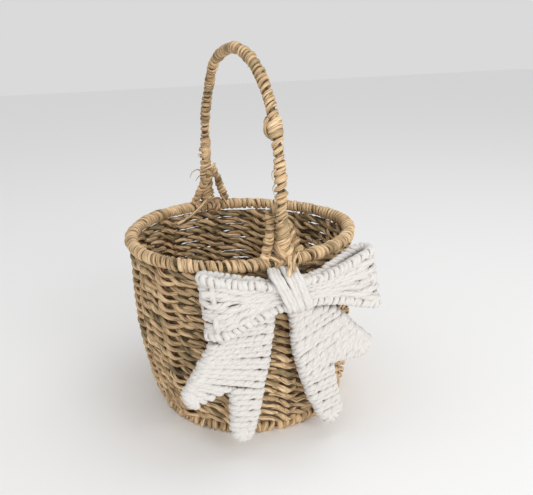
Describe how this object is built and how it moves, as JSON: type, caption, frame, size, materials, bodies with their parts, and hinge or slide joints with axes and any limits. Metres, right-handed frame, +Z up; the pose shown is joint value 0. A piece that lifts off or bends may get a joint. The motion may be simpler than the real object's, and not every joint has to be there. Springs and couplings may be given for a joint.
{
  "type": "flower girl basket",
  "caption": "Round woven seagrass basket on a wire frame, with a fixed arched handle, a wrapped rim and base, and a stiff white cord bow with swallow tails on the front.",
  "frame": {"origin": "centre of the base, on the surface the basket stands on", "axes": "+Z up; -Y to the front, where the bow hangs; the handle arches from the front to the back of the rim in the YZ plane; +X to the right seen from the front"},
  "size_m": [0.2, 0.2308, 0.3088],
  "materials": {
    "frame_wire": "satin red-brown paint on bent and welded iron wire",
    "seagrass": "dried seagrass, twisted two-ply rope and flat wound strips, dull with a faint sheen",
    "white_cord": "matte off-white twisted cord"
  },
  "bodies": {
    "root": {"rim_hoop": "frame_wire", "base_hoop": "frame_wire", "base_star": "frame_wire", "handle_wire": "frame_wire", "front_brace_wire": "frame_wire", "back_brace_wire": "frame_wire", "left_loop_wire": "frame_wire", "right_loop_wire": "frame_wire", "left_tail_wire": "frame_wire", "right_tail_wire": "frame_wire", "stake_01": "frame_wire", "stake_02": "frame_wire", "stake_03": "frame_wire", "stake_04": "frame_wire", "stake_05": "frame_wire", "stake_06": "frame_wire", "stake_07": "frame_wire", "stake_08": "frame_wire", "stake_09": "frame_wire", "stake_10": "frame_wire", "stake_11": "frame_wire", "stake_12": "frame_wire", "rim_wrap": "seagrass", "base_wrap": "seagrass", "base_weave": "seagrass", "handle_wrap": "seagrass", "handle_splice": "seagrass", "front_brace_wrap": "seagrass", "back_brace_wrap": "seagrass", "front_lashing": "seagrass", "back_lashing": "seagrass", "tie_strand": "seagrass", "weft_row_01": "seagrass", "weft_row_02": "seagrass", "weft_row_03": "seagrass", "weft_row_04": "seagrass", "weft_row_05": "seagrass", "weft_row_06": "seagrass", "weft_row_07": "seagrass", "weft_row_08": "seagrass", "weft_row_09": "seagrass", "weft_row_10": "seagrass", "weft_row_11": "seagrass", "weft_row_12": "seagrass", "weft_row_13": "seagrass", "weft_row_14": "seagrass", "weft_row_15": "seagrass", "weft_row_16": "seagrass", "weft_row_17": "seagrass", "weft_row_18": "seagrass", "weft_row_19": "seagrass", "left_loop_top_wrap": "white_cord", "left_loop_bottom_wrap": "white_cord", "left_loop_panel": "white_cord", "right_loop_top_wrap": "white_cord", "right_loop_bottom_wrap": "white_cord", "right_loop_panel": "white_cord", "left_tail_panel": "white_cord", "right_tail_panel": "white_cord", "bow_knot": "white_cord"}
  },
  "joints": []
}
